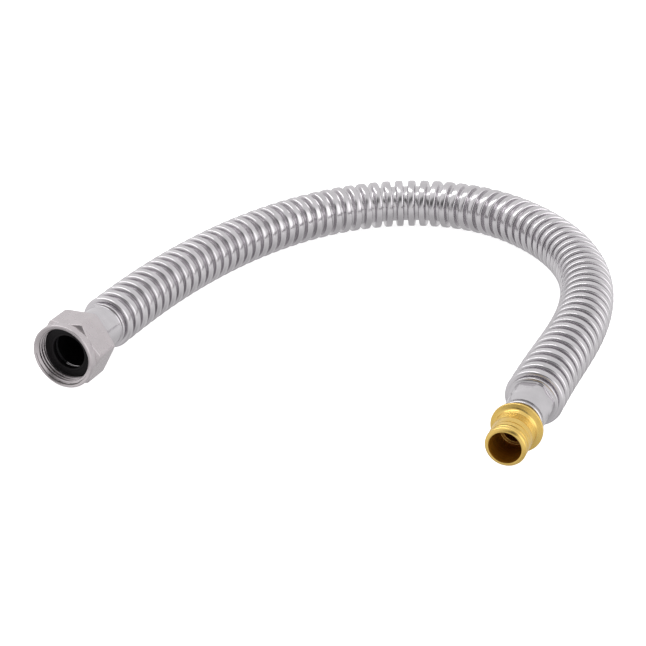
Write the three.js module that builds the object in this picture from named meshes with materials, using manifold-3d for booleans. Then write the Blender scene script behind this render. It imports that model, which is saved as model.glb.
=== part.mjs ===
// Flexible water connector: a bent corrugated stainless tube with a 3/4 in swivel nut on its inlet end
// and a brass crimp insert for 3/4 in PEX pipe on its outlet end.
// Millimetres, +Z up. The connector lies on z = 0 with both mouths facing -Y.

import * as THREE from 'three';
import { mergeVertices } from 'three/addons/utils/BufferGeometryUtils.js';
import Module from 'manifold-3d';

const wasm = await Module();
wasm.setup();

// ---- Driving dimensions ----

const GAP = 0.3;              // clearance between neighbouring pieces
const ROUND_SIDES = 36;       // sides of every turned piece

const HOSE_RADIUS = 13.1;     // over the crests of the corrugations
const HOSE_WALL = 0.5;        // plain wall with the same metal in it as the corrugated one
const HOSE_SIDES = 12;
const HOSE_STEPS = 60;
const INLET_CREST = 41.1;     // nut's front face to the first crest
const OUTLET_CREST = 46.8;    // insert's end face to the last crest
const CREST_HALF = 2.2;       // half the width of a crest

const CUFF_RADIUS = 10.4;     // smooth inlet end of the tube, which the nut slides on
const CUFF_WALL = 0.6;
const LIP_RADIUS = 11.4;      // small rolled ring beside the first and last corrugation
const LIP_LENGTH = 1.5;
const LIP_FROM_CREST = 4.9;   // crest to the lip's far side
const FLARE_RADIUS = 11.8;    // turned-out inlet end that the washer seals against
const FLARE_THICKNESS = 1.0;

const CRIMP_SIDES = 6;        // flats pressed onto the insert's stem
const CRIMP_FLAT_RADIUS = 9.4;
const NECK_RADIUS = 9.3;      // round end of the tube, beside the insert's flange
const NECK_LENGTH = 12.0;
const NECK_WALL = 0.5;

const NUT_FLATS = 30.0;       // wrench size across flats
const NUT_LENGTH = 19.2;
const NUT_COLLAR_RADIUS = 15.9; // round front collar, which stands proud of the flats
const NUT_COLLAR_LENGTH = 4.7;
const NUT_CHAMFER = Math.tan(THREE.MathUtils.degToRad(30));
const THREAD_MAJOR_RADIUS = 13.3;
const THREAD_MINOR_RADIUS = 12.15;
const THREAD_PITCH = 25.4 / 14;
const THREAD_START = 0.7;     // front face to the first thread's crest
const NUT_SHOULDER = 12.2;    // front face to the shoulder that pulls on the bush
const NUT_REAR_BORE = 11.7;

const WASHER_FRONT = 5.4;     // nut's front face to the washer
const WASHER_THICKNESS = 3.0;
const WASHER_RADIUS = 11.8;
const WASHER_HOLE = 8.4;

const BUSH_FLANGE_THICKNESS = 2.0;
const BUSH_OUTER_RADIUS = NUT_REAR_BORE - GAP;
const BUSH_INNER_RADIUS = CUFF_RADIUS + GAP;
const BUSH_TAIL = 1.6;        // how far the bush stands out behind the nut

const BARB_LENGTH = 17.5;     // insert's end face to its flange
const BARB_RADIUS = 8.9;
const BARB_GROOVE_RADIUS = 8.2;
const INSERT_BORE = 6.8;
const BORE_STEP = 15.7;       // insert's end face to where the bore narrows
const FLANGE_RADIUS = 11.35;
const FLANGE_THICKNESS = 1.3;
const STEM_RADIUS = 8.4;
const STEM_BORE = 5.3;
const STEM_LENGTH = 17.4;     // behind the flange, inside the tube
const SEAL_GROOVE_DEPTH = 1.35;
const SEAL_GROOVE_LENGTH = 1.9;
const SEAL_OFFSETS = [2.6, 6.0];   // flange's rear face to each O-ring's middle
const SEAL_SECTION_RADIUS = 0.68;

// The hose's middle line is the uniform cubic B-spline of these points, chosen by hand.
// Three points in line at each end hold the ends straight. The inlet is 15.9 mm up, the radius of the
// nut's collar, and the tube comes down from there to lie on its crests.
const ROUTE_POINTS = [
  [-105.5, -167, 15.9], [-105.5, -128, 15.9], [-105.5, -89, 15.9], [-105.5, -50, 15.9], [-102.5, -10.5, 15.2],
  [-95.5, 29.5, 14.2], [-82.5, 66, 13.5], [-63, 95.5, 13.2], [-38, 115, 13.1], [-9, 123.5, 13.1],
  [21, 119.5, 13.1], [50, 103.5, 13.1], [75.5, 79, 13.1], [94, 49, 13.1], [105, 14, 13.1],
  [109, -23, 13.1], [108.1, -60, 13.1], [109.4, -97, 13.1], [110.7, -134, 13.1], [112, -171, 13.1],
];

// ---- Route of the hose ----

/** Uniform cubic B-spline through space. */
class SplineRoute extends THREE.Curve {
  constructor(points) {
    super();
    this.points = points.map((point) => new THREE.Vector3(...point));
    this.arcLengthDivisions = 2400;
  }

  getPoint(t, target = new THREE.Vector3()) {
    const spans = this.points.length - 3;
    const span = Math.min(Math.floor(t * spans), spans - 1);
    const u = t * spans - span;
    const weights = [
      (1 - u) ** 3 / 6,
      (3 * u ** 3 - 6 * u ** 2 + 4) / 6,
      (-3 * u ** 3 + 3 * u ** 2 + 3 * u + 1) / 6,
      u ** 3 / 6,
    ];
    target.set(0, 0, 0);
    weights.forEach((weight, i) => target.addScaledVector(this.points[span + i], weight));
    return target;
  }
}

/** The stretch of a route between two distances along it. */
class RouteStretch extends THREE.Curve {
  constructor(route, from, to) {
    super();
    this.route = route;
    this.from = from / route.getLength();
    this.to = to / route.getLength();
  }

  getPoint(t, target = new THREE.Vector3()) {
    return this.route.getPointAt(THREE.MathUtils.lerp(this.from, this.to, t), target);
  }
}

const route = new SplineRoute(ROUTE_POINTS);
const routeLength = route.getLength();

// ---- Solids ----

/** A manifold-3d solid of a closed three.js geometry. */
function solidOf(geometry) {
  geometry.deleteAttribute('normal');
  geometry.deleteAttribute('uv');
  const welded = mergeVertices(geometry, 1e-4);
  const corners = welded.index.array;
  const triVerts = [];
  for (let i = 0; i < corners.length; i += 3) {
    const [a, b, c] = corners.slice(i, i + 3);
    const hasArea = a !== b && b !== c && c !== a;
    if (hasArea) triVerts.push(a, b, c);
  }
  const mesh = new wasm.Mesh({
    numProp: 3,
    vertProperties: new Float32Array(welded.attributes.position.array),
    triVerts: new Uint32Array(triVerts),
  });
  return new wasm.Manifold(mesh);
}

/** The three.js geometry of a manifold-3d solid. */
function geometryOf(solid) {
  const mesh = solid.getMesh();
  const geometry = new THREE.BufferGeometry();
  geometry.setAttribute('position', new THREE.BufferAttribute(mesh.vertProperties, 3));
  geometry.setIndex(new THREE.BufferAttribute(mesh.triVerts, 1));
  geometry.computeVertexNormals();
  return geometry;
}

/** A turned solid about the Y axis: its profile is a list of [radius, distance along the axis]. */
function turned(profile, sides = ROUND_SIDES, firstAngle = 0) {
  const points = profile.map(([radius, along]) => new THREE.Vector2(radius, along));
  const onAxis = profile[0][0] === 0;
  if (!onAxis) points.push(points[0].clone());
  const area = THREE.ShapeUtils.area(points);
  if (area < 0) points.reverse();
  return solidOf(new THREE.LatheGeometry(points, sides, firstAngle, Math.PI * 2));
}

/** A solid rod about the Y axis, from one distance to another. */
function rod(radius, from, to, sides = ROUND_SIDES, firstAngle = 0) {
  return turned([[0, from], [radius, from], [radius, to], [0, to]], sides, firstAngle);
}

/** A plain round bar along a stretch of the route. */
function sweptBar(radius, from, to) {
  const section = new THREE.Shape();
  for (let i = 0; i < HOSE_SIDES; i++) {
    const angle = (i / HOSE_SIDES) * Math.PI * 2;
    const corner = [radius * Math.cos(angle), radius * Math.sin(angle)];
    if (i === 0) section.moveTo(...corner);
    else section.lineTo(...corner);
  }
  section.closePath();
  const extrudePath = new RouteStretch(route, from, to);
  return solidOf(new THREE.ExtrudeGeometry(section, { steps: HOSE_STEPS, extrudePath }));
}

/** Moves a solid made about the Y axis to the inlet end, where its y = 0 is the nut's front face. */
function atInlet(solid) {
  const place = route.getPoint(0);
  return solid.translate([place.x, place.y, place.z]);
}

/** Moves a solid made about the Y axis to the outlet end, where its y = 0 is the insert's end face. */
function atOutlet(solid) {
  const place = route.getPoint(1);
  const heading = route.getTangent(1);
  const turn = THREE.MathUtils.radToDeg(Math.atan2(heading.x, -heading.y));
  return solid.rotate([0, 0, turn]).translate([place.x, place.y, place.z]);
}

// ---- Corrugated tube ----

const flareFront = WASHER_FRONT + WASHER_THICKNESS + GAP;
const insertFlangeRear = BARB_LENGTH + FLANGE_THICKNESS;
const tubeOutletEnd = insertFlangeRear + GAP;
const crimpStart = tubeOutletEnd + NECK_LENGTH;

/** The inlet end: a flare, a smooth cuff and the lip beside the first corrugation. */
function inletCuff(end) {
  const lipFront = INLET_CREST - LIP_FROM_CREST;
  const bore = CUFF_RADIUS - CUFF_WALL;
  return atInlet(turned([
    [bore, flareFront],
    [FLARE_RADIUS, flareFront],
    [FLARE_RADIUS, flareFront + FLARE_THICKNESS],
    [CUFF_RADIUS, flareFront + FLARE_THICKNESS],
    [CUFF_RADIUS, lipFront],
    [LIP_RADIUS, lipFront],
    [LIP_RADIUS, lipFront + LIP_LENGTH],
    [CUFF_RADIUS, lipFront + LIP_LENGTH],
    [CUFF_RADIUS, end],
    [bore, end],
  ]));
}

/** The outlet end: a round neck, the six crimped flats and the lip beside the last corrugation. */
function outletCuff(end) {
  const lipFront = OUTLET_CREST - LIP_FROM_CREST;
  const cornerRadius = CRIMP_FLAT_RADIUS / Math.cos(Math.PI / CRIMP_SIDES);
  const outside = rod(NECK_RADIUS, tubeOutletEnd, end)
    .add(rod(cornerRadius, crimpStart, end, CRIMP_SIDES, Math.PI / CRIMP_SIDES))
    .add(rod(LIP_RADIUS, lipFront, lipFront + LIP_LENGTH));
  return atOutlet(outside.subtract(rod(NECK_RADIUS - NECK_WALL, tubeOutletEnd - 1, end + 1)));
}

function corrugatedTube() {
  const from = INLET_CREST - CREST_HALF;
  const outletWall = OUTLET_CREST - CREST_HALF;
  const to = routeLength - outletWall;
  const outside = sweptBar(HOSE_RADIUS, from, to);
  const inside = sweptBar(HOSE_RADIUS - HOSE_WALL, from + HOSE_WALL, to - HOSE_WALL);
  const inletHole = atInlet(rod(CUFF_RADIUS - CUFF_WALL, from - 1, from + 1));
  const outletHole = atOutlet(rod(NECK_RADIUS - NECK_WALL, outletWall - 1, outletWall + 1));
  return outside
    .subtract(inside)
    .add(inletCuff(from + HOSE_WALL / 2))
    .add(outletCuff(outletWall + HOSE_WALL / 2))
    .subtract(inletHole)
    .subtract(outletHole);
}

// ---- Swivel nut, washer and bush ----

function hexBar(length) {
  const cornerRadius = NUT_FLATS / 2 / Math.cos(Math.PI / 6);
  return rod(cornerRadius, 0, length, 6, Math.PI / 2);
}

/** Cone-ended bar that takes the corners off the hexagon at 30 degrees. */
function nutEnvelope() {
  const reach = NUT_FLATS / 2 / Math.cos(Math.PI / 6) + 1;
  const rise = (reach - NUT_COLLAR_RADIUS) * NUT_CHAMFER;
  return turned([
    [0, 0],
    [NUT_COLLAR_RADIUS - 0.6, 0],
    [NUT_COLLAR_RADIUS, 0.6],
    [NUT_COLLAR_RADIUS, NUT_COLLAR_LENGTH],
    [reach, NUT_COLLAR_LENGTH + rise],
    [reach, NUT_LENGTH - rise],
    [NUT_COLLAR_RADIUS, NUT_LENGTH],
    [0, NUT_LENGTH],
  ]);
}

/** Round collar round the mouth, with its front edge broken. */
function nutCollar() {
  return turned([
    [0, 0],
    [NUT_COLLAR_RADIUS - 0.6, 0],
    [NUT_COLLAR_RADIUS, 0.6],
    [NUT_COLLAR_RADIUS, NUT_COLLAR_LENGTH],
    [0, NUT_COLLAR_LENGTH],
  ]);
}

/** Bore of the nut, with ring grooves that stand for the thread. */
function nutBore() {
  const profile = [[0, -1], [THREAD_MAJOR_RADIUS + 0.4, -1], [THREAD_MAJOR_RADIUS + 0.4, 0]];
  const depth = THREAD_MAJOR_RADIUS - THREAD_MINOR_RADIUS;
  for (let at = THREAD_START; at < NUT_SHOULDER - THREAD_PITCH; at += THREAD_PITCH) {
    profile.push([THREAD_MINOR_RADIUS, at]);
    profile.push([THREAD_MINOR_RADIUS, at + 0.25]);
    profile.push([THREAD_MINOR_RADIUS + depth, at + THREAD_PITCH / 2]);
    profile.push([THREAD_MINOR_RADIUS, at + THREAD_PITCH - 0.25]);
  }
  profile.push([THREAD_MINOR_RADIUS, NUT_SHOULDER]);
  profile.push([NUT_REAR_BORE, NUT_SHOULDER]);
  profile.push([NUT_REAR_BORE, NUT_LENGTH + 1]);
  profile.push([0, NUT_LENGTH + 1]);
  return turned(profile);
}

function swivelNut() {
  const hexagon = hexBar(NUT_LENGTH).intersect(nutEnvelope());
  return atInlet(hexagon.add(nutCollar()).subtract(nutBore()));
}

function sealingWasher() {
  const rear = WASHER_FRONT + WASHER_THICKNESS;
  const edge = 0.4;
  return atInlet(turned([
    [WASHER_HOLE, WASHER_FRONT + edge],
    [WASHER_HOLE + edge, WASHER_FRONT],
    [WASHER_RADIUS, WASHER_FRONT],
    [WASHER_RADIUS, rear],
    [WASHER_HOLE, rear],
  ]));
}

function insulatingBush() {
  const front = flareFront + FLARE_THICKNESS + GAP;
  const flangeRear = front + BUSH_FLANGE_THICKNESS;
  const rear = NUT_LENGTH + BUSH_TAIL;
  return atInlet(turned([
    [BUSH_INNER_RADIUS, front],
    [FLARE_RADIUS, front],
    [FLARE_RADIUS, flangeRear],
    [BUSH_OUTER_RADIUS, flangeRear],
    [BUSH_OUTER_RADIUS, rear - 0.4],
    [BUSH_OUTER_RADIUS - 0.3, rear],
    [BUSH_INNER_RADIUS, rear],
  ]));
}

// ---- Brass insert and its seals ----

/** Barbed end for the PEX pipe: a round end ring, two broad ridges, then finer ones up to the flange. */
function barbProfile() {
  const ridges = [
    { from: 0.7, to: 2.8 },
    { from: 4.2, to: 6.3 },
    { from: 7.0, to: 10.4 },
    { from: 11.1, to: 12.9 },
    { from: 13.6, to: 14.8 },
  ];
  const profile = [[INSERT_BORE, 0], [BARB_RADIUS - 0.6, 0]];
  ridges.forEach(({ from, to }, i) => {
    if (i > 0) profile.push([BARB_GROOVE_RADIUS, from - 0.35]);
    profile.push([BARB_RADIUS, from]);
    profile.push([BARB_RADIUS, to]);
    profile.push([BARB_GROOVE_RADIUS, to + 0.35]);
  });
  return profile;
}

function pexInsert() {
  const stemEnd = insertFlangeRear + STEM_LENGTH;
  const profile = barbProfile();
  profile.push([BARB_GROOVE_RADIUS, BARB_LENGTH]);
  profile.push([FLANGE_RADIUS, BARB_LENGTH]);
  profile.push([FLANGE_RADIUS, insertFlangeRear]);
  profile.push([STEM_RADIUS, insertFlangeRear]);
  SEAL_OFFSETS.forEach((offset) => {
    const middle = insertFlangeRear + offset;
    profile.push([STEM_RADIUS, middle - SEAL_GROOVE_LENGTH / 2]);
    profile.push([STEM_RADIUS - SEAL_GROOVE_DEPTH, middle - SEAL_GROOVE_LENGTH / 2]);
    profile.push([STEM_RADIUS - SEAL_GROOVE_DEPTH, middle + SEAL_GROOVE_LENGTH / 2]);
    profile.push([STEM_RADIUS, middle + SEAL_GROOVE_LENGTH / 2]);
  });
  profile.push([STEM_RADIUS, stemEnd]);
  profile.push([STEM_BORE, stemEnd]);
  profile.push([STEM_BORE, BORE_STEP]);
  profile.push([INSERT_BORE, BORE_STEP]);
  return atOutlet(turned(profile));
}

/** O-ring in one of the stem's grooves, sealing against the inside of the neck. */
function stemSeal(offset) {
  const sectionSides = 8;
  const ringRadius = NECK_RADIUS - NECK_WALL - 0.12 - SEAL_SECTION_RADIUS;
  const middle = insertFlangeRear + offset;
  const profile = [];
  for (let i = 0; i < sectionSides; i++) {
    const angle = (i / sectionSides) * Math.PI * 2;
    profile.push([
      ringRadius + SEAL_SECTION_RADIUS * Math.cos(angle),
      middle + SEAL_SECTION_RADIUS * Math.sin(angle),
    ]);
  }
  return atOutlet(turned(profile));
}

// ---- The connector ----

const stainless = { color: 0xb9b8bc, roughness: 0.3, metalness: 1 };
const nickel = { color: 0xb5b1b0, roughness: 0.38, metalness: 1 };
const brass = { color: 0xd3a53c, roughness: 0.28, metalness: 1 };
const blackRubber = { color: 0x17171a, roughness: 0.7, metalness: 0 };
const blackPlastic = { color: 0x222225, roughness: 0.5, metalness: 0 };

function piece(name, solid, finish) {
  const mesh = new THREE.Mesh(geometryOf(solid), new THREE.MeshStandardMaterial(finish));
  mesh.name = name;
  return mesh;
}

const connector = new THREE.Group();
connector.add(
  piece('corrugated_tube', corrugatedTube(), stainless),
  piece('swivel_nut', swivelNut(), nickel),
  piece('sealing_washer', sealingWasher(), blackRubber),
  piece('insulating_bush', insulatingBush(), blackPlastic),
  piece('pex_insert', pexInsert(), brass),
);
SEAL_OFFSETS.forEach((offset, i) => {
  connector.add(piece(`stem_seal_${i + 1}`, stemSeal(offset), blackRubber));
});

export default connector;
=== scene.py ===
# Corrugated water connector: looks of the bent stainless tube, its swivel nut and its brass insert.
# Metres, +Z up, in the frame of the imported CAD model. Sizes written in millimetres go through MM.

import math

import bpy
import numpy as np
from mathutils import Matrix, Vector


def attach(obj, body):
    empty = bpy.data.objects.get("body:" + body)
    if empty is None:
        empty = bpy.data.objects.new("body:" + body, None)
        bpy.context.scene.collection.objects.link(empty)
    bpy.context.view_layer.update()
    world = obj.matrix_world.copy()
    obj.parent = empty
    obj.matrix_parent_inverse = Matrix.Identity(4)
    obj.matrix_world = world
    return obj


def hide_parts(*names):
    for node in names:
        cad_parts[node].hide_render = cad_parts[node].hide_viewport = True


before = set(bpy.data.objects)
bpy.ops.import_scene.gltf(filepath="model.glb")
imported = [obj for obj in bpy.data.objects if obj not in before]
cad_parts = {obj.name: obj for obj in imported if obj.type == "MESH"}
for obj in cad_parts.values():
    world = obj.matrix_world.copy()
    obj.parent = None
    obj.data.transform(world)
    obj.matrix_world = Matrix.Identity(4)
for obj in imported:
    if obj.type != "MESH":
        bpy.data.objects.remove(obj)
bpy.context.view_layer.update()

MM = 0.001

# ---- Camera, set at the photograph's viewpoint ----

CAMERA_PLACE = (0.2795, -0.6610, 0.3278)
CAMERA_AZIMUTH = 25.2
CAMERA_DOWN = 24.93
CAMERA_ROLL = -2.51
CAMERA_LENS = 86.28
SENSOR_WIDTH = 36.0

# ---- Route of the hose: the same points as in the CAD model, in metres ----

ROUTE_POINTS = [
    (-0.1055, -0.167, 0.0159), (-0.1055, -0.128, 0.0159), (-0.1055, -0.089, 0.0159),
    (-0.1055, -0.05, 0.0159), (-0.1025, -0.0105, 0.0152), (-0.0955, 0.0295, 0.0142),
    (-0.0825, 0.066, 0.0135), (-0.063, 0.0955, 0.0132), (-0.038, 0.115, 0.0131),
    (-0.009, 0.1235, 0.0131), (0.021, 0.1195, 0.0131), (0.05, 0.1035, 0.0131),
    (0.0755, 0.079, 0.0131), (0.094, 0.049, 0.0131), (0.105, 0.014, 0.0131),
    (0.109, -0.023, 0.0131), (0.1081, -0.06, 0.0131), (0.1094, -0.097, 0.0131),
    (0.1107, -0.134, 0.0131), (0.112, -0.171, 0.0131),
]
ROUTE_SAMPLES = 6000

# ---- Corrugated tube, in millimetres ----

TUBE_SIDES = 60
CORRUGATIONS = 75
CREST_RADIUS = 13.1
VALLEY_RADIUS = 9.8
CREST_HALF = 2.12
CREST_ROUND = 1.15
VALLEY_ROUND = 0.7
TUBE_WALL = 0.45
INLET_CREST = 41.1      # nut's front face to the first crest
OUTLET_CREST = 46.8     # insert's end face to the last crest
FLARE_FRONT = 8.7
FLARE_RADIUS = 11.8
FLARE_THICKNESS = 1.0
CUFF_RADIUS = 10.4
CUFF_WALL = 0.6
LIP_RADIUS = 11.4
LIP_LENGTH = 1.5
LIP_FROM_CREST = 4.9
NECK_END = 19.1         # insert's end face to the tube's end
NECK_RADIUS = 9.3
NECK_BORE = 8.8
CRIMP_FROM = 33.5       # insert's end face to the crimped flats
CRIMP_FLATS = 6
CRIMP_FLAT_RADIUS = 9.4
CRIMP_CORNER_RADIUS = 10.1
CRIMP_RAMP = 0.9        # length of the slope from the crimped flats down to the neck
CRIMP_TURN = -6.0       # degrees from straight up to the middle of a flat
BEAD_PLACE = 9.9        # small bead inside the flare, seen through the washer
BEAD_RADIUS = 8.85
BEAD_LIT = 263.0        # angle of the bead's part left as bright steel, from the level direction; painted shade covers the rest of the bead
BEAD_LIT_HALF = 24.0    # half its width, in degrees

# ---- Nut, washer and bush, in millimetres from the nut's front face ----

NUT_SIDES = 240
NUT_FLATS = 30.0
NUT_LENGTH = 19.2
NUT_COLLAR_RADIUS = 15.88
NUT_COLLAR_LENGTH = 4.7
NUT_COLLAR_DROP = 0.8   # fall of the collar into the corner in front of the hexagon
NUT_RIM_ROUND = 0.45
NUT_CORNER_CUT = 0.25   # rounding of the hexagon's six corners
NUT_CHAMFER = math.tan(math.radians(30))
NUT_REAR_RADIUS = 14.7
NUT_REAR_ROUND = 0.25
NUT_MOUTH = 14.9
THREAD_MAJOR_RADIUS = 14.35
THREAD_MINOR_RADIUS = 13.0
THREAD_PITCH = 25.4 / 14
THREAD_ROOT_SHARE = 0.34   # share of the thread's height, at its roots, that gets painted shade
NUT_SHOULDER = 12.2
NUT_REAR_BORE = 11.7
WASHER_FRONT = 5.4
WASHER_THICKNESS = 3.0
WASHER_RADIUS = 12.85
WASHER_HOLE = 8.4
BUSH_FRONT = 10.0
BUSH_INNER_RADIUS = 10.7
BUSH_OUTER_RADIUS = 11.4
BUSH_REAR = 20.8

# ---- Brass insert, in millimetres from its end face ----

INSERT_SIDES = 128
BARB_RADIUS = 8.9
BARB_GROOVE_RADIUS = 8.05
INSERT_BORE = 6.8
BORE_STEP = 15.7
BARB_LENGTH = 17.5
FLANGE_RADIUS = 11.35
FLANGE_THICKNESS = 1.3
STEM_RADIUS = 8.4
STEM_BORE = 5.3
STEM_END = 36.2
SEAL_OFFSETS = (2.6, 6.0)
SEAL_GROOVE_DEPTH = 1.35
SEAL_GROOVE_LENGTH = 1.9
SEAL_SECTION_RADIUS = 0.68
SEAL_CLEARANCE = 0.12   # O-ring to the neck's bore

# ---- Studio ----

FLOOR_GLOW = 0.78
WALLS_DARKEST = 0.05

# Patches of the walls: azimuth, elevation, half-width of the full and of the faded part, in degrees,
# and brightness. The first covers the whole studio, and the negative ones darken it.
STUDIO_WALLS = [
    (0, 90, 179, 180, 0.80),
    (142, 44, 6, 22, -0.50),
    (162, 38, 6, 22, -0.25),
    (-178, 27, 2, 28, -0.46),
    (-162, 12, 2, 30, -0.34),
    (90, 18, 4, 36, 0.85),
    (0, -90, 30, 80, -0.27),
]

# Soft box: azimuth, elevation, distance, size and radiance.
SOFT_BOXES = [("overhead_box", -80, 62, 1.2, (0.3, 1.5), 2.5)]


def make_camera():
    azimuth = math.radians(CAMERA_AZIMUTH)
    down = math.radians(CAMERA_DOWN)
    roll = math.radians(CAMERA_ROLL)
    forward = Vector((
        -math.sin(azimuth) * math.cos(down),
        math.cos(azimuth) * math.cos(down),
        -math.sin(down),
    ))
    level = forward.cross(Vector((0, 0, 1))).normalized()
    upright = level.cross(forward)
    right = level * math.cos(roll) + upright * math.sin(roll)
    up = upright * math.cos(roll) - level * math.sin(roll)
    data = bpy.data.cameras.new("camera")
    data.lens = CAMERA_LENS
    data.sensor_width = SENSOR_WIDTH
    data.clip_start = 0.01
    camera = bpy.data.objects.new("camera", data)
    turn = Matrix((right, up, -forward)).transposed()
    camera.matrix_world = Matrix.Translation(CAMERA_PLACE) @ turn.to_4x4()
    bpy.context.scene.collection.objects.link(camera)
    bpy.context.scene.camera = camera


# ---- The route as a line with a length ----

def spline(points, count):
    """Points on the uniform cubic B-spline of the control points."""
    points = np.array(points)
    spans = len(points) - 3
    at = np.linspace(0, spans, count)
    span = np.minimum(at.astype(int), spans - 1)
    u = (at - span)[:, None]
    weights = (
        (1 - u) ** 3 / 6,
        (3 * u ** 3 - 6 * u ** 2 + 4) / 6,
        (-3 * u ** 3 + 3 * u ** 2 + 3 * u + 1) / 6,
        u ** 3 / 6,
    )
    return sum(weight * points[span + i] for i, weight in enumerate(weights))


class Route:
    """The hose's middle line: places and cross directions at distances along it, in metres."""

    def __init__(self, points):
        self.line = spline(points, ROUTE_SAMPLES)
        steps = np.linalg.norm(np.diff(self.line, axis=0), axis=1)
        self.at = np.concatenate([[0], np.cumsum(steps)])
        self.length = self.at[-1]
        tangent = np.gradient(self.line, self.at, axis=0)
        self.tangent = tangent / np.linalg.norm(tangent, axis=1)[:, None]

    def place(self, distance):
        """Places at the distances, going straight on past either end."""
        inside = np.clip(distance, 0, self.length)
        found = np.stack([np.interp(inside, self.at, self.line[:, k]) for k in range(3)], axis=1)
        return found + (distance - inside)[:, None] * self.heading(distance)

    def heading(self, distance):
        found = np.stack([np.interp(distance, self.at, self.tangent[:, k]) for k in range(3)], axis=1)
        return found / np.linalg.norm(found, axis=1)[:, None]

    def cross_directions(self, distance):
        """The level direction across the line and the direction up from it."""
        heading = self.heading(distance)
        level = np.cross(heading, (0, 0, 1))
        level /= np.linalg.norm(level, axis=1)[:, None]
        return level, np.cross(level, heading)


# ---- Mesh building ----

def rounded(corners, steps):
    """A closed outline of (along, radius, rounding) corners, each turned into an arc of the given steps."""
    outline = []
    count = len(corners)
    for i, (along, radius, rounding) in enumerate(corners):
        corner = np.array((along, radius), float)
        before = np.array(corners[i - 1][:2], float) - corner
        after = np.array(corners[(i + 1) % count][:2], float) - corner
        before_length, after_length = np.linalg.norm(before), np.linalg.norm(after)
        before, after = before / before_length, after / after_length
        opening = math.acos(max(-1, min(1, float(before @ after))))
        if rounding == 0 or opening > math.radians(179):
            outline.append(corner)
            continue
        reach = rounding / math.tan(opening / 2)
        reach = min(reach, 0.49 * before_length, 0.49 * after_length)
        start, end = corner + before * reach, corner + after * reach
        for k in range(steps + 1):
            t = k / steps
            outline.append((1 - t) ** 2 * start + 2 * t * (1 - t) * corner + t ** 2 * end)
    return np.array(outline)


def ring_mesh(name, rows, lay):
    """A closed mesh from rings of points: each row is a closed ring, and the last row joins the first."""
    count, sides = rows.shape[:2]
    index = np.arange(count * sides).reshape(count, sides)
    down, across = np.roll(index, -1, axis=0), np.roll(index, -1, axis=1)
    corner = np.roll(down, -1, axis=1)
    faces = np.stack([index, down, corner, across], axis=-1).reshape(-1, 4)
    points = rows.reshape(-1, 3)
    a, b, c, d = (points[faces[:, k]] for k in range(4))
    volume = np.einsum("ij,ij->i", a, np.cross(b, c)).sum() + np.einsum("ij,ij->i", a, np.cross(c, d)).sum()
    if volume < 0:
        faces = faces[:, ::-1]
    mesh = bpy.data.meshes.new(name)
    mesh.from_pydata(points.tolist(), [], faces.tolist())
    mesh.polygons.foreach_set("use_smooth", np.ones(len(faces), bool))
    attribute = mesh.attributes.new("lay", "FLOAT_VECTOR", "POINT")
    attribute.data.foreach_set("vector", lay.reshape(-1).astype(np.float32))
    mesh.update()
    piece = bpy.data.objects.new(name, mesh)
    bpy.context.scene.collection.objects.link(piece)
    return piece


def along_outline(outline):
    """Distance along an outline at each of its points."""
    steps = np.linalg.norm(np.diff(outline, axis=0), axis=1)
    return np.concatenate([[0], np.cumsum(steps)])


def turned_piece(name, route, from_outlet, outline, sides, radii=None):
    """A turned piece about the route's straight end. The outline holds (along, radius) in millimetres.
    radii, if given, holds a radius for every row and side in place of the outline's."""
    along = outline[:, 0] * MM
    distance = route.length - along if from_outlet else along
    centre = route.place(distance)
    level, up = route.cross_directions(distance)
    angle = np.linspace(0, 2 * math.pi, sides, endpoint=False)
    if radii is None:
        radii = np.repeat(outline[:, 1][:, None], sides, axis=1)
    across = np.cos(angle)[None, :, None] * level[:, None] + np.sin(angle)[None, :, None] * up[:, None]
    rows = centre[:, None] + across * (radii * MM)[:, :, None]
    lay = np.zeros(rows.shape)
    lay[..., 0] = np.cos(angle) * radii * MM
    lay[..., 1] = np.sin(angle) * radii * MM
    lay[..., 2] = (along_outline(outline) * MM)[:, None]
    return ring_mesh(name, rows, lay)


# ---- Corrugated tube ----

def tube_corners(pitch, total):
    """Outside of the tube from the flare to the neck, as (along, radius, rounding) corners."""
    lip = INLET_CREST - LIP_FROM_CREST
    corners = [
        (FLARE_FRONT, FLARE_RADIUS, 0.2),
        (FLARE_FRONT + FLARE_THICKNESS, FLARE_RADIUS, 0.3),
        (FLARE_FRONT + FLARE_THICKNESS, CUFF_RADIUS, 0.5),
        (lip, CUFF_RADIUS, 0.5),
        (lip, LIP_RADIUS, 0.45),
        (lip + LIP_LENGTH, LIP_RADIUS, 0.45),
        (lip + LIP_LENGTH, VALLEY_RADIUS, 0.3),
    ]
    for i in range(CORRUGATIONS):
        crest = INLET_CREST + i * pitch
        corners += [
            (crest - CREST_HALF, VALLEY_RADIUS, VALLEY_ROUND),
            (crest - CREST_HALF, CREST_RADIUS, CREST_ROUND),
            (crest + CREST_HALF, CREST_RADIUS, CREST_ROUND),
            (crest + CREST_HALF, VALLEY_RADIUS, VALLEY_ROUND),
        ]
    lip = total - OUTLET_CREST + LIP_FROM_CREST
    crimp = total - CRIMP_FROM
    corners += [
        (lip - LIP_LENGTH, VALLEY_RADIUS, 0.3),
        (lip - LIP_LENGTH, LIP_RADIUS, 0.45),
        (lip, LIP_RADIUS, 0.45),
        (lip, CRIMP_CORNER_RADIUS, 0),
        (crimp - CRIMP_RAMP, CRIMP_CORNER_RADIUS, 0),
        (crimp, NECK_RADIUS, 0),
        (total - NECK_END, NECK_RADIUS, 0.2),
    ]
    return corners


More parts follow.
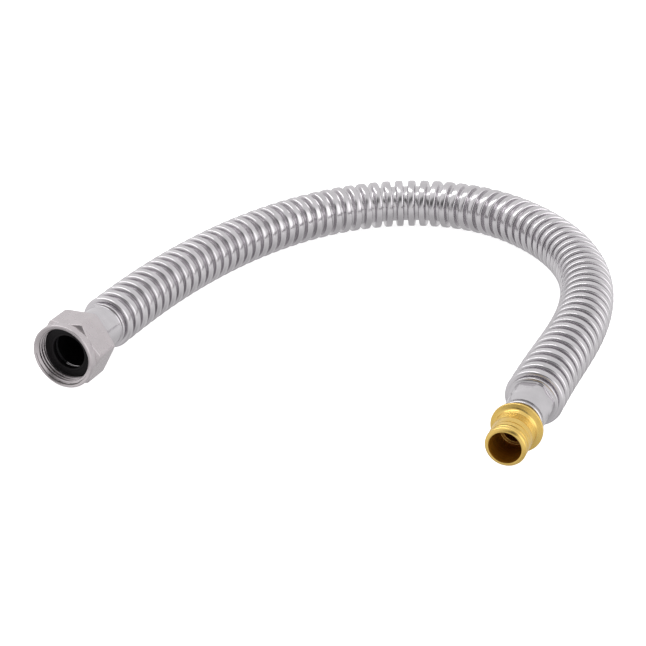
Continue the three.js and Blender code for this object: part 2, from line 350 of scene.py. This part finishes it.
def tube_bore(pitch, total):
    """Inside of the tube, from the neck back to the flare."""
    corners = [(total - NECK_END, NECK_BORE, 0), (total - OUTLET_CREST + LIP_FROM_CREST, NECK_BORE, 0)]
    bore = VALLEY_RADIUS - TUBE_WALL
    pocket = CREST_HALF - TUBE_WALL
    for i in reversed(range(CORRUGATIONS)):
        crest = INLET_CREST + i * pitch
        corners += [
            (crest + pocket, bore, 0),
            (crest + pocket, CREST_RADIUS - TUBE_WALL, 0),
            (crest - pocket, CREST_RADIUS - TUBE_WALL, 0),
            (crest - pocket, bore, 0),
        ]
    corners += [
        (INLET_CREST - LIP_FROM_CREST, bore, 0),
        (BEAD_PLACE + 0.6, CUFF_RADIUS - CUFF_WALL, 0),
        (BEAD_PLACE + 0.3, BEAD_RADIUS, 0.4),
        (BEAD_PLACE - 0.3, BEAD_RADIUS, 0.4),
        (BEAD_PLACE - 0.6, CUFF_RADIUS - CUFF_WALL, 0),
        (FLARE_FRONT, CUFF_RADIUS - CUFF_WALL, 0),
    ]
    return corners


def off_flat(angle, flats, turn=0.0):
    """Angle to the middle of the nearest flat, with one flat's middle `turn` degrees from straight up."""
    step = 2 * math.pi / flats
    from_top = angle - math.pi / 2 - math.radians(turn)
    return (from_top + step / 2) % step - step / 2


def tube_piece(route):
    total = route.length / MM
    pitch = (total - INLET_CREST - OUTLET_CREST) / (CORRUGATIONS - 1)
    outside = rounded(tube_corners(pitch, total), 3)
    inside = rounded(tube_bore(pitch, total), 3)
    outline = np.concatenate([outside, inside])
    angle = np.linspace(0, 2 * math.pi, TUBE_SIDES, endpoint=False)
    radii = np.repeat(outline[:, 1][:, None], TUBE_SIDES, axis=1)
    from_end = total - outline[: len(outside), 0]
    near = (from_end > CRIMP_FROM + 0.5) & (from_end < OUTLET_CREST - LIP_FROM_CREST + 0.01)
    crimped = np.flatnonzero(near & (outline[: len(outside), 1] < CUFF_RADIUS))
    flats = CRIMP_FLAT_RADIUS / np.cos(off_flat(angle, CRIMP_FLATS, CRIMP_TURN))
    radii[crimped] = np.minimum(radii[crimped], flats)
    tube = turned_piece("corrugated_tube_skin", route, False, outline, TUBE_SIDES, radii)
    smooth = np.ones((len(outline), TUBE_SIDES), bool)
    smooth[crimped[:-1]] = False
    # Painted shade: the tube's inside past the bead gets the dark material.
    inside_painted_shade = np.zeros(smooth.shape, np.int32)
    inside_painted_shade[len(outside):] = (outline[len(outside):, 0] > BEAD_PLACE + 1)[:, None]
    # Painted shade on all of the bead but its lower part, where light falls on it.
    bead = (np.abs(outline[:, 0] - BEAD_PLACE) < 1) & (outline[:, 1] < CUFF_RADIUS - 0.5)
    dark = np.abs(angle - math.radians(BEAD_LIT)) > math.radians(BEAD_LIT_HALF)
    inside_painted_shade[np.ix_(bead, dark)] = 1
    tube.data.polygons.foreach_set("use_smooth", smooth.reshape(-1))
    tube.data.materials.append(tube_steel())
    tube.data.materials.append(tube_painted_shade())
    tube.data.polygons.foreach_set("material_index", inside_painted_shade.reshape(-1))
    return tube


# ---- Swivel nut ----

def smooth_min(a, b, softness):
    """The lower of two values, with the step between them rounded off."""
    blend = np.clip(0.5 + (b - a) / (2 * softness), 0, 1)
    return a * blend + b * (1 - blend) - softness * blend * (1 - blend)


def hexagon_radius(angle):
    """Radius of a hexagon with flats above and below and rounded corners."""
    flat = NUT_FLATS / 2 / np.cos(off_flat(angle, 6))
    corner = NUT_FLATS / 2 / math.cos(math.pi / 6)
    return smooth_min(flat, np.full_like(flat, corner - NUT_CORNER_CUT), 0.12)


def chamfer_radius(along):
    """Radius of the turned envelope that takes the hexagon's corners off at both ends."""
    front = NUT_FLATS / 2 + (along - NUT_COLLAR_LENGTH) / NUT_CHAMFER
    rear = NUT_COLLAR_RADIUS + (NUT_LENGTH - along) / NUT_CHAMFER
    return min(front, rear)


def nut_outside(angle):
    """Rows of (along, radii) over the outside of the nut, from the front rim to the rear face."""
    rim = NUT_COLLAR_RADIUS - NUT_RIM_ROUND
    rows = [(0.0, np.full_like(angle, rim - 0.1))]
    for t in np.linspace(0, math.pi / 2, 6):
        along = NUT_RIM_ROUND - NUT_RIM_ROUND * math.cos(t)
        rows.append((along, np.full_like(angle, rim + NUT_RIM_ROUND * math.sin(t))))
    collar_drops = ((1.5, 0.0), (3.3, 0.0), (3.7, 0.06), (4.1, 0.22), (4.4, 0.45), (4.6, NUT_COLLAR_DROP))
    for along, drop in collar_drops:
        rows.append((along, np.full_like(angle, NUT_COLLAR_RADIUS - drop)))
    hexagon = hexagon_radius(angle)
    for along in np.arange(NUT_COLLAR_LENGTH - 0.05, NUT_COLLAR_LENGTH + 1.8, 0.09):
        step = max(0.0, min(1.0, (NUT_COLLAR_LENGTH + 0.35 - along) / 0.3))
        collar = NUT_COLLAR_RADIUS - NUT_COLLAR_DROP - 0.8 + 0.8 * math.sin(step * math.pi / 2)
        cut = smooth_min(hexagon, np.full_like(angle, chamfer_radius(along)), 0.06)
        rows.append((along, np.maximum(cut, collar)))
    for along in np.linspace(NUT_COLLAR_LENGTH + 2.0, NUT_LENGTH - 2.2, 8):
        rows.append((along, hexagon))
    for along in np.arange(NUT_LENGTH - 2.0, NUT_LENGTH - 0.2, 0.11):
        rows.append((along, smooth_min(hexagon, np.full_like(angle, chamfer_radius(along)), 0.08)))
    for t in np.linspace(0, math.pi / 2, 5):
        along = NUT_LENGTH - NUT_REAR_ROUND + NUT_REAR_ROUND * math.sin(t)
        rows.append((along, np.full_like(angle, NUT_REAR_RADIUS + NUT_REAR_ROUND * math.cos(t))))
    return rows


def thread_ridge(along, angle):
    """Height within the right-handed thread: 0 at the root's middle, 1 at the crest's."""
    turn = (along / THREAD_PITCH - angle / (2 * math.pi)) % 1.0
    return np.abs(turn - 0.5) * 2


def thread_radius(along, angle):
    """Radius of the nut's bore at a distance from the front, with the thread led in and run out."""
    ridge = thread_ridge(along, angle)
    depth = THREAD_MAJOR_RADIUS - THREAD_MINOR_RADIUS
    shape = np.clip((ridge - 0.1) / 0.7, 0, 1)
    lead_in = np.clip(1 - along / 1.3, 0, 1)
    run_out = np.clip((along - (NUT_SHOULDER - 2.2)) / 1.0, 0, 1)
    radius = THREAD_MAJOR_RADIUS - depth * shape
    radius = np.maximum(radius, THREAD_MINOR_RADIUS + (depth + 0.25) * lead_in)
    return radius + (THREAD_MAJOR_RADIUS - radius) * run_out


def nut_inside(angle):
    """Rows of (along, radii) through the bore, from the rear face to the front rim."""
    rows = [(NUT_LENGTH, np.full_like(angle, NUT_REAR_BORE + 0.4))]
    rows.append((NUT_LENGTH - 0.4, np.full_like(angle, NUT_REAR_BORE)))
    rows.append((NUT_SHOULDER + 0.1, np.full_like(angle, NUT_REAR_BORE)))
    rows.append((NUT_SHOULDER, np.full_like(angle, NUT_REAR_BORE + 0.1)))
    rows.append((NUT_SHOULDER, np.full_like(angle, THREAD_MAJOR_RADIUS)))
    for along in np.arange(NUT_SHOULDER - 0.4, 0.3, -THREAD_PITCH / 15):
        rows.append((along, thread_radius(along, angle)))
    for along, radius in ((0.28, 14.5), (0.06, NUT_MOUTH), (0.0, NUT_MOUTH + 0.06)):
        rows.append((along, np.full_like(angle, radius)))
    return rows


def nut_piece(route):
    angle = np.linspace(0, 2 * math.pi, NUT_SIDES, endpoint=False)
    rows = nut_outside(angle) + nut_inside(angle)
    outline = np.array([(along, radii.mean()) for along, radii in rows])
    radii = np.array([radii for along, radii in rows])
    nut = turned_piece("swivel_nut_body", route, False, outline, NUT_SIDES, radii)
    threaded = (outline[:, 1] < NUT_MOUTH) & (outline[:, 0] > 0.3) & (outline[:, 0] < NUT_SHOULDER - 1)
    # Painted shade on the thread's roots.
    roots = threaded[:, None] & (thread_ridge(outline[:, :1], angle) < THREAD_ROOT_SHARE)
    nut.data.materials.append(nut_steel())
    nut.data.materials.append(thread_root_painted_shade())
    nut.data.polygons.foreach_set("material_index", roots.astype(np.int32).reshape(-1))
    return nut


# ---- Washer, bush, insert and seals ----

def washer_piece(route):
    rear = WASHER_FRONT + WASHER_THICKNESS
    corners = [
        (WASHER_FRONT, WASHER_HOLE, 0.8),
        (WASHER_FRONT, WASHER_HOLE + 1.2, 0),
        (WASHER_FRONT + 0.12, WASHER_HOLE + 1.45, 0.2),
        (WASHER_FRONT + 0.12, WASHER_RADIUS - 0.9, 0.2),
        (WASHER_FRONT, WASHER_RADIUS - 0.65, 0.1),
        (WASHER_FRONT, WASHER_RADIUS, 0.3),
        (rear, WASHER_RADIUS, 0.3),
        (rear, WASHER_HOLE, 0.8),
    ]
    return turned_piece("sealing_washer_ring", route, False, rounded(corners, 5), 96)


def bush_piece(route):
    corners = [
        (BUSH_FRONT, BUSH_INNER_RADIUS, 0.2),
        (BUSH_FRONT, FLARE_RADIUS, 0.3),
        (BUSH_FRONT + 2.0, FLARE_RADIUS, 0.2),
        (BUSH_FRONT + 2.0, BUSH_OUTER_RADIUS, 0.15),
        (BUSH_REAR, BUSH_OUTER_RADIUS, 0.35),
        (BUSH_REAR, BUSH_INNER_RADIUS, 0.2),
    ]
    return turned_piece("insulating_bush_sleeve", route, False, rounded(corners, 4), 96)


def barb_corners():
    """End ring, two broad ridges and five fine ones, from the bore's mouth to the flange."""
    corners = [
        (0.0, INSERT_BORE + 0.2, 0.3),
        (0.0, INSERT_BORE + 0.9, 0.5),
        (0.9, BARB_RADIUS - 0.05, 1.2),
        (2.6, BARB_RADIUS, 0.8),
        (3.4, BARB_GROOVE_RADIUS + 0.1, 0.5),
    ]
    ridges = [(4.0, 6.4), (6.9, 10.3)] + [(10.9 + 0.9 * i, 11.4 + 0.9 * i) for i in range(5)]
    for start, end in ridges:
        corners.append((start, BARB_GROOVE_RADIUS + 0.35, 0.12))
        corners.append((start + 0.15, BARB_RADIUS - 0.1, 0.1))
        corners.append((end - 0.1, BARB_RADIUS, 0.1))
        corners.append((end + 0.1, BARB_GROOVE_RADIUS + 0.15, 0.1))
    return corners


def insert_piece(route):
    flange_rear = BARB_LENGTH + FLANGE_THICKNESS
    corners = barb_corners()
    corners += [
        (BARB_LENGTH - 2.2, BARB_RADIUS - 0.3, 0.4),
        (BARB_LENGTH - 0.5, BARB_RADIUS + 0.2, 2.5),
        (BARB_LENGTH, FLANGE_RADIUS - 0.1, 0.2),
        (BARB_LENGTH + 0.2, FLANGE_RADIUS, 0.2),
        (flange_rear, FLANGE_RADIUS, 0.4),
        (flange_rear, STEM_RADIUS, 0.2),
    ]
    floor = STEM_RADIUS - SEAL_GROOVE_DEPTH
    for offset in SEAL_OFFSETS:
        front = flange_rear + offset - SEAL_GROOVE_LENGTH / 2
        rear = front + SEAL_GROOVE_LENGTH
        corners += [(front, STEM_RADIUS, 0.1), (front, floor, 0.1)]
        corners += [(rear, floor, 0.1), (rear, STEM_RADIUS, 0.1)]
    corners += [
        (STEM_END, STEM_RADIUS, 0.5),
        (STEM_END, STEM_BORE, 0.4),
        (BORE_STEP, STEM_BORE, 0.35),
        (BORE_STEP, INSERT_BORE, 0.2),
    ]
    outline = rounded(corners, 4)
    insert = turned_piece("pex_insert_body", route, True, outline, INSERT_SIDES)
    step_middle = (INSERT_BORE + STEM_BORE) / 2
    # Painted shade on the bore, all but the middle of the step between its two sizes.
    bored = (outline[:, 1] < INSERT_BORE + 0.25) & (np.abs(outline[:, 1] - step_middle) > 0.65)
    insert.data.materials.append(insert_brass())
    insert.data.materials.append(bore_painted_shade())
    insert.data.polygons.foreach_set("material_index", np.repeat(bored.astype(np.int32), INSERT_SIDES))
    return insert


def seal_piece(route, number, offset):
    section = SEAL_SECTION_RADIUS
    ring = NECK_BORE - SEAL_CLEARANCE - section
    middle = BARB_LENGTH + FLANGE_THICKNESS + offset
    turn = np.linspace(0, 2 * math.pi, 16, endpoint=False)
    outline = np.stack([middle + section * np.sin(turn), ring + section * np.cos(turn)], axis=1)
    return turned_piece(f"stem_seal_ring_{number}", route, True, outline, 72)


# ---- Materials ----

def new_material(name, colour, metallic, roughness):
    material = bpy.data.materials.new(name)
    material.use_nodes = True
    shader = material.node_tree.nodes["Principled BSDF"]
    shader.inputs["Base Color"].default_value = (*colour, 1)
    shader.inputs["Metallic"].default_value = metallic
    shader.inputs["Roughness"].default_value = roughness
    return material, material.node_tree, shader


def pattern(tree, scale, stretch=(1, 1, 1), detail=3.0, source="lay"):
    """Noise over a piece: in its own turned directions, or in the object's plain axes."""
    if source == "lay":
        where = tree.nodes.new("ShaderNodeAttribute")
        where.attribute_name = "lay"
        place = where.outputs["Vector"]
    else:
        where = tree.nodes.new("ShaderNodeTexCoord")
        place = where.outputs["Object"]
    mapping = tree.nodes.new("ShaderNodeMapping")
    mapping.inputs["Scale"].default_value = stretch
    tree.links.new(place, mapping.inputs["Vector"])
    noise = tree.nodes.new("ShaderNodeTexNoise")
    noise.inputs["Scale"].default_value = scale
    noise.inputs["Detail"].default_value = detail
    tree.links.new(mapping.outputs["Vector"], noise.inputs["Vector"])
    return noise.outputs["Fac"]


def ramp(tree, value, stops):
    """Colours or greys set along a value from 0 to 1."""
    made = tree.nodes.new("ShaderNodeValToRGB")
    elements = made.color_ramp.elements
    while len(elements) < len(stops):
        elements.new(0.5)
    for element, (position, colour) in zip(elements, stops):
        element.position = position
        element.color = (*colour, 1) if hasattr(colour, "__len__") else (colour, colour, colour, 1)
    tree.links.new(value, made.inputs["Fac"])
    return made.outputs["Color"]


def bump(tree, shader, heights):
    """Chained bumps: each of heights is (value, strength, distance)."""
    normal = None
    for value, strength, distance in heights:
        made = tree.nodes.new("ShaderNodeBump")
        made.inputs["Strength"].default_value = strength
        made.inputs["Distance"].default_value = distance
        tree.links.new(value, made.inputs["Height"])
        if normal is not None:
            tree.links.new(normal, made.inputs["Normal"])
        normal = made.outputs["Normal"]
    tree.links.new(normal, shader.inputs["Normal"])


def tube_painted_shade():
    """Painted shade: a dull dark finish put on the inside of the tube in place of the shade there, which no
    light reaches.
    """
    material, tree, shader = new_material("tube_painted_shade", (0.02, 0.02, 0.022), 0, 0.6)
    shader.inputs["Specular IOR Level"].default_value = 0.2
    mottle = pattern(tree, 300, detail=3)
    tree.links.new(
        ramp(tree, mottle, [(0.3, (0.012, 0.012, 0.014)), (0.7, (0.03, 0.03, 0.032))]),
        shader.inputs["Base Color"],
    )
    bump(tree, shader, [(mottle, 0.1, 0.0002)])
    return material


def tube_steel():
    material, tree, shader = new_material("tube_steel", (0.66, 0.65, 0.67), 1, 0.22)
    clouds = pattern(tree, 90, detail=4)
    lines = pattern(tree, 900, (0.04, 0.04, 1.6), detail=2)
    tree.links.new(
        ramp(tree, clouds, [(0.3, (0.64, 0.625, 0.64)), (0.7, (0.75, 0.73, 0.75))]),
        shader.inputs["Base Color"],
    )
    tree.links.new(ramp(tree, clouds, [(0.25, 0.15), (0.75, 0.25)]), shader.inputs["Roughness"])
    bump(tree, shader, [(lines, 0.05, 0.0001), (clouds, 0.04, 0.0006)])
    return material


def nut_steel():
    material, tree, shader = new_material("nut_steel", (0.62, 0.6, 0.6), 1, 0.33)
    clouds = pattern(tree, 160, detail=4, source="object")
    grain = pattern(tree, 900, detail=2, source="object")
    tree.links.new(
        ramp(tree, clouds, [(0.3, (0.63, 0.59, 0.60)), (0.7, (0.68, 0.636, 0.646))]),
        shader.inputs["Base Color"],
    )
    tree.links.new(ramp(tree, clouds, [(0.3, 0.24), (0.7, 0.31)]), shader.inputs["Roughness"])
    bump(tree, shader, [(grain, 0.006, 0.0001), (clouds, 0.015, 0.0003)])
    return material


def thread_root_painted_shade():
    """Painted shade: a dull dark finish in the roots of the nut's thread, where shade falls."""
    material, tree, shader = new_material("thread_root_painted_shade", (0.12, 0.11, 0.11), 0.8, 0.35)
    mottle = pattern(tree, 400, detail=3, source="object")
    tree.links.new(
        ramp(tree, mottle, [(0.3, (0.07, 0.065, 0.066)), (0.7, (0.2, 0.185, 0.185))]),
        shader.inputs["Base Color"],
    )
    bump(tree, shader, [(mottle, 0.05, 0.0002)])
    return material


def insert_brass():
    material, tree, shader = new_material("insert_brass", (0.8, 0.56, 0.15), 1, 0.2)
    clouds = pattern(tree, 140, detail=3)
    marks = pattern(tree, 1500, (0.03, 0.03, 2.2), detail=2)
    tree.links.new(
        ramp(tree, clouds, [(0.3, (0.86, 0.58, 0.15)), (0.7, (0.94, 0.67, 0.21))]),
        shader.inputs["Base Color"],
    )
    tree.links.new(ramp(tree, marks, [(0.3, 0.22), (0.7, 0.3)]), shader.inputs["Roughness"])
    bump(tree, shader, [(marks, 0.04, 0.0001)])
    return material


def bore_painted_shade():
    """Painted shade: a dark brown put on the inside of the insert in place of the shade and dim reflections
    there.
    """
    material, tree, shader = new_material("bore_painted_shade", (0.1, 0.05, 0.008), 0.5, 0.5)
    mottle = pattern(tree, 260, detail=3)
    tree.links.new(
        ramp(tree, mottle, [(0.3, (0.26, 0.10, 0.004)), (0.7, (0.40, 0.165, 0.008))]),
        shader.inputs["Base Color"],
    )
    bump(tree, shader, [(mottle, 0.1, 0.0002)])
    return material


def black_rubber(name, roughness):
    """Dull black of the rubber and moulded plastic pieces."""
    material, tree, shader = new_material(name, (0.012, 0.012, 0.013), 0, roughness)
    shader.inputs["Specular IOR Level"].default_value = 0.14
    grain = pattern(tree, 1200, detail=3, source="object")
    tree.links.new(
        ramp(tree, grain, [(0.3, (0.005, 0.0045, 0.005)), (0.7, (0.010, 0.009, 0.010))]),
        shader.inputs["Base Color"],
    )
    tree.links.new(
        ramp(tree, grain, [(0.3, roughness - 0.08), (0.7, roughness + 0.08)]), shader.inputs["Roughness"]
    )
    bump(tree, shader, [(grain, 0.1, 0.0001)])
    return material


def floor_white():
    material, tree, shader = new_material("floor_white", (0.86, 0.86, 0.865), 0, 0.9)
    shader.inputs["Specular IOR Level"].default_value = 0.1
    shader.inputs["Emission Color"].default_value = (1, 1, 1, 1)
    shader.inputs["Emission Strength"].default_value = FLOOR_GLOW
    return material


# ---- Floor and lights ----

def make_floor():
    """A white table lit from within. The metal mirrors the grey studio below the horizon in its place."""
    mesh = bpy.data.meshes.new("floor")
    half = 4.0
    corners = [(-half, -half, 0), (half, -half, 0), (half, half, 0), (-half, half, 0)]
    mesh.from_pydata(corners, [], [(0, 1, 2, 3)])
    floor = bpy.data.objects.new("floor", mesh)
    floor.visible_glossy = False
    bpy.context.scene.collection.objects.link(floor)
    mesh.materials.append(floor_white())


def compass(azimuth, elevation):
    """Direction of a place in the studio: azimuth from +Y towards +X, both in degrees."""
    azimuth, elevation = math.radians(azimuth), math.radians(elevation)
    return (
        math.sin(azimuth) * math.cos(elevation),
        math.cos(azimuth) * math.cos(elevation),
        math.sin(elevation),
    )


def area_light(name, azimuth, elevation, distance, size, radiance):
    """A soft box of the given radiance, facing the object."""
    data = bpy.data.lights.new(name, "AREA")
    data.shape = "RECTANGLE"
    data.size, data.size_y = size
    data.energy = radiance * math.pi * size[0] * size[1]
    light = bpy.data.objects.new(name, data)
    place = Vector(compass(azimuth, elevation)) * distance
    turn = (-place).to_track_quat("-Z", "Y").to_matrix().to_4x4()
    light.matrix_world = Matrix.Translation(place) @ turn
    bpy.context.scene.collection.objects.link(light)


def studio_walls(tree):
    """Brightness of the studio all round: a pale tent with lighter and darker walls."""
    look = tree.nodes.new("ShaderNodeTexCoord").outputs["Generated"]
    total = None
    for azimuth, elevation, inner, outer, brightness in STUDIO_WALLS:
        facing = tree.nodes.new("ShaderNodeVectorMath")
        facing.operation = "DOT_PRODUCT"
        facing.inputs[1].default_value = compass(azimuth, elevation)
        tree.links.new(look, facing.inputs[0])
        patch = tree.nodes.new("ShaderNodeMapRange")
        patch.interpolation_type = "SMOOTHSTEP"
        patch.inputs["From Min"].default_value = math.cos(math.radians(outer))
        patch.inputs["From Max"].default_value = math.cos(math.radians(inner))
        patch.inputs["To Min"].default_value = 0
        patch.inputs["To Max"].default_value = brightness
        tree.links.new(facing.outputs["Value"], patch.inputs["Value"])
        if total is None:
            total = patch.outputs["Result"]
            continue
        added = tree.nodes.new("ShaderNodeMath")
        added.operation = "ADD"
        tree.links.new(total, added.inputs[0])
        tree.links.new(patch.outputs["Result"], added.inputs[1])
        total = added.outputs["Value"]
    darkest = tree.nodes.new("ShaderNodeMath")
    darkest.operation = "MAXIMUM"
    darkest.inputs[1].default_value = WALLS_DARKEST
    tree.links.new(total, darkest.inputs[0])
    return darkest.outputs["Value"]


def make_world():
    world = bpy.data.worlds.new("studio")
    world.use_nodes = True
    bpy.context.scene.world = world
    tree = world.node_tree
    background = tree.nodes["Background"]
    background.inputs["Color"].default_value = (1.0, 0.99, 1.0, 1)
    tree.links.new(studio_walls(tree), background.inputs["Strength"])


def make_lights():
    make_world()
    for name, azimuth, elevation, distance, size, radiance in SOFT_BOXES:
        area_light(name, azimuth, elevation, distance, size, radiance)
    bpy.context.scene.view_settings.view_transform = "Standard"


# ---- The whole ----

def finish_piece(piece, body, node_name, material=None):
    if material is not None:
        piece.data.materials.append(material)
    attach(piece, body)
    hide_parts(node_name)


make_camera()
route = Route(ROUTE_POINTS)
tube = tube_piece(route)
insert = insert_piece(route)
washer = washer_piece(route)
bush = bush_piece(route)
nut = nut_piece(route)
seals = [seal_piece(route, i + 1, offset) for i, offset in enumerate(SEAL_OFFSETS)]

seal_rubber = black_rubber("seal_rubber", 0.4)
finish_piece(tube, "tube", "corrugated_tube")
finish_piece(insert, "tube", "pex_insert")
finish_piece(washer, "tube", "sealing_washer", black_rubber("washer_rubber", 0.35))
finish_piece(bush, "bush", "insulating_bush", black_rubber("bush_plastic", 0.45))
finish_piece(nut, "nut", "swivel_nut")
for i, seal in enumerate(seals):
    finish_piece(seal, "tube", f"stem_seal_{i + 1}", seal_rubber)

make_floor()
make_lights()
